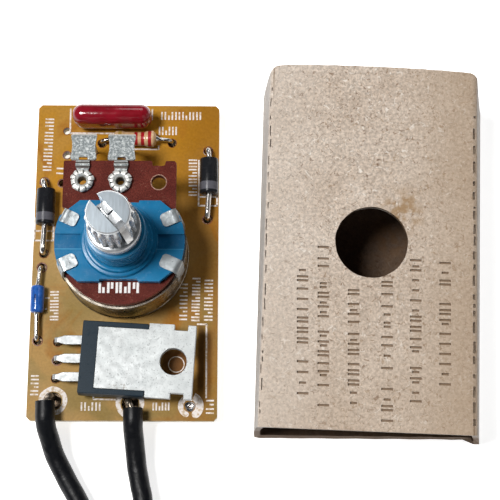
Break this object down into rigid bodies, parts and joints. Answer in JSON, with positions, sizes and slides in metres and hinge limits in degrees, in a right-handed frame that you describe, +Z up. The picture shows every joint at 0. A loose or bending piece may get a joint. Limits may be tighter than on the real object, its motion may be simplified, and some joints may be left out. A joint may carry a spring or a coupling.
{
  "type": "rotary lamp dimmer module with insulating sleeve",
  "caption": "Open circuit board with a knurled-shaft potentiometer, power triac and small parts, two black wires, and a folded fibreboard sleeve with a shaft hole beside it.",
  "frame": {"origin": "on the bench, under the middle of the board and the sleeve together (the wires not counted)", "axes": "+X from the board to the sleeve, +Y along the board towards the capacitor end, +Z up along the shaft"},
  "size_m": [0.0644, 0.0959, 0.028],
  "materials": {
    "laminate": "amber paper laminate board, satin, with pale printed outlines",
    "solder": "tinned copper foil with bright solder",
    "tinned_wire": "bright tinned copper wire",
    "resistor_lacquer": "beige lacquer with red bands",
    "epoxy": "black moulded epoxy, satin",
    "diac_glass": "bright blue painted glass bead, glossy",
    "capacitor_dip": "deep red dipped epoxy, very glossy",
    "plated_copper": "tinned copper tab, satin with faint scratches",
    "pressed_steel": "dull tinned steel pressing",
    "phenolic": "red-brown phenolic sheet",
    "carbon": "printed carbon film",
    "silver_ink": "printed silver ink",
    "tinned_brass": "tinned brass, mottled",
    "blue_moulding": "mid blue moulded thermoplastic, semi-gloss",
    "cast_zinc": "satin nickel plated zinc",
    "nylon": "black nylon",
    "spring_bronze": "phosphor bronze spring strip",
    "pvc": "black insulation, soft satin",
    "fibreboard": "tan-grey vulcanised fibre sheet with dark and pale flecks"
  },
  "bodies": {
    "module": {"circuit_board": "laminate", "track_line": "solder", "track_load": "solder", "track_gate": "solder", "track_timing": "solder", "track_divider": "solder", "track_bridge": "solder", "track_snubber": "solder", "resistor_body": "resistor_lacquer", "resistor_leg_left": "tinned_wire", "resistor_leg_right": "tinned_wire", "diode_left_body": "epoxy", "diode_left_leg_upper": "tinned_wire", "diode_left_leg_lower": "tinned_wire", "diode_right_body": "epoxy", "diode_right_leg_upper": "tinned_wire", "diode_right_leg_lower": "tinned_wire", "diac_body": "diac_glass", "diac_leg_upper": "tinned_wire", "diac_leg_lower": "tinned_wire", "capacitor_body": "capacitor_dip", "capacitor_leg_left": "tinned_wire", "capacitor_leg_right": "tinned_wire", "triac_case": "epoxy", "triac_tab": "plated_copper", "triac_leg_gate": "tinned_wire", "triac_leg_two": "tinned_wire", "triac_leg_one": "tinned_wire", "pot_can": "pressed_steel", "pot_element_plate": "phenolic", "pot_carbon_track": "carbon", "pot_collector_ring": "silver_ink", "pot_terminal_end": "tinned_brass", "pot_terminal_wiper": "tinned_brass", "pot_eyelet_end": "tinned_brass", "pot_eyelet_wiper": "tinned_brass", "pot_housing": "blue_moulding", "lead_left_wire": "pvc", "lead_right_wire": "pvc", "lead_left_strands": "tinned_wire", "lead_right_strands": "tinned_wire", "lead_left_coil": "pvc", "lead_right_coil": "pvc", "lead_left_tip": "tinned_wire", "lead_right_tip": "tinned_wire", "lead_tie": "pvc"},
    "shaft": {"pot_shaft": "cast_zinc", "pot_rotor": "nylon", "pot_wiper": "spring_bronze", "pot_shaft_clip": "spring_bronze"},
    "sleeve": {"insulating_sleeve": "fibreboard"}
  },
  "joints": [
    {"name": "shaft_turn", "type": "hinge", "parent": "module", "child": "shaft", "pos_m": [-0.01908, 0.00096, 0.02], "axis": [0, 0, 1], "range_deg": [-150, 150]},
    {"name": "sleeve_slide", "type": "slide", "parent": "module", "child": "sleeve", "axis": [0.0375, 0.9993, 0], "range_m": [0, 0.05]}
  ]
}
